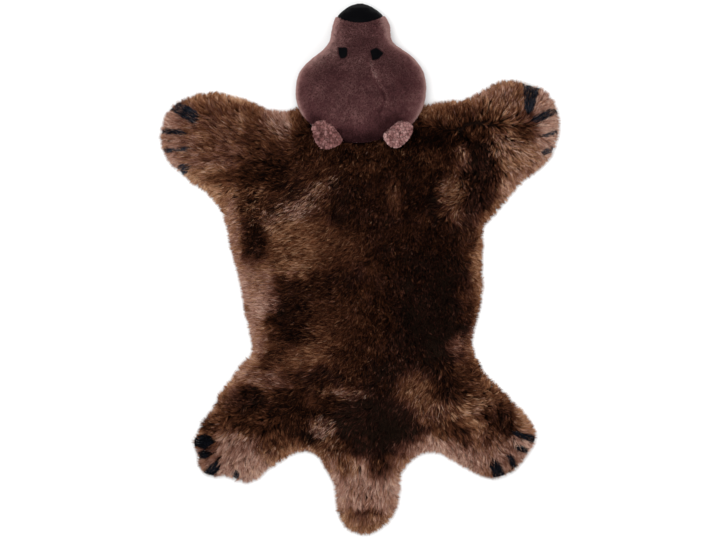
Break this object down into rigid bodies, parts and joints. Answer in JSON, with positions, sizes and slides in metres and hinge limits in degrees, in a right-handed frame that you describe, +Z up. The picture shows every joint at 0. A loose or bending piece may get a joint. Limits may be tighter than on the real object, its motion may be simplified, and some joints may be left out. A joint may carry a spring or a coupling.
{
  "type": "bear shaped kids rug",
  "caption": "Bear shaped sheepskin floor rug for a child's room: a flat pieced pelt with spread limbs and tail, and a stuffed plush head.",
  "frame": {"origin": "on the floor under the middle of the rug's bounding box", "axes": "+Y from the tail to the nose, +X to the right seen from above with the nose up, +Z up from the floor"},
  "size_m": [0.8322, 1.1053, 0.0832],
  "materials": {
    "body_fur": "dark brown sheepskin pile, matte with soft sheen",
    "arm_fur": "brown sheepskin pile, lighter at the tips",
    "leg_fur": "brown sheepskin pile, lighter at the paws",
    "tail_fur": "light pinkish brown sheepskin pile",
    "claw_fur": "black sheepskin pile",
    "head_plush": "mauve brown short plush",
    "ear_curl": "light short curly pile",
    "black_leather": "black soft leather"
  },
  "bodies": {
    "root": {"pelt_body": "body_fur", "arm_left": "arm_fur", "arm_right": "arm_fur", "leg_left": "leg_fur", "leg_right": "leg_fur", "tail": "tail_fur", "head": "head_plush", "nose": "black_leather", "eye_left": "black_leather", "eye_right": "black_leather", "ear_left": "ear_curl", "ear_right": "ear_curl", "claw_arm_left_1": "claw_fur", "claw_arm_left_2": "claw_fur", "claw_arm_left_3": "claw_fur", "claw_arm_left_4": "claw_fur", "claw_arm_right_1": "claw_fur", "claw_arm_right_2": "claw_fur", "claw_arm_right_3": "claw_fur", "claw_arm_right_4": "claw_fur", "claw_leg_left_1": "claw_fur", "claw_leg_left_2": "claw_fur", "claw_leg_left_3": "claw_fur", "claw_leg_left_4": "claw_fur", "claw_leg_right_1": "claw_fur", "claw_leg_right_2": "claw_fur", "claw_leg_right_3": "claw_fur", "claw_leg_right_4": "claw_fur"}
  },
  "joints": []
}
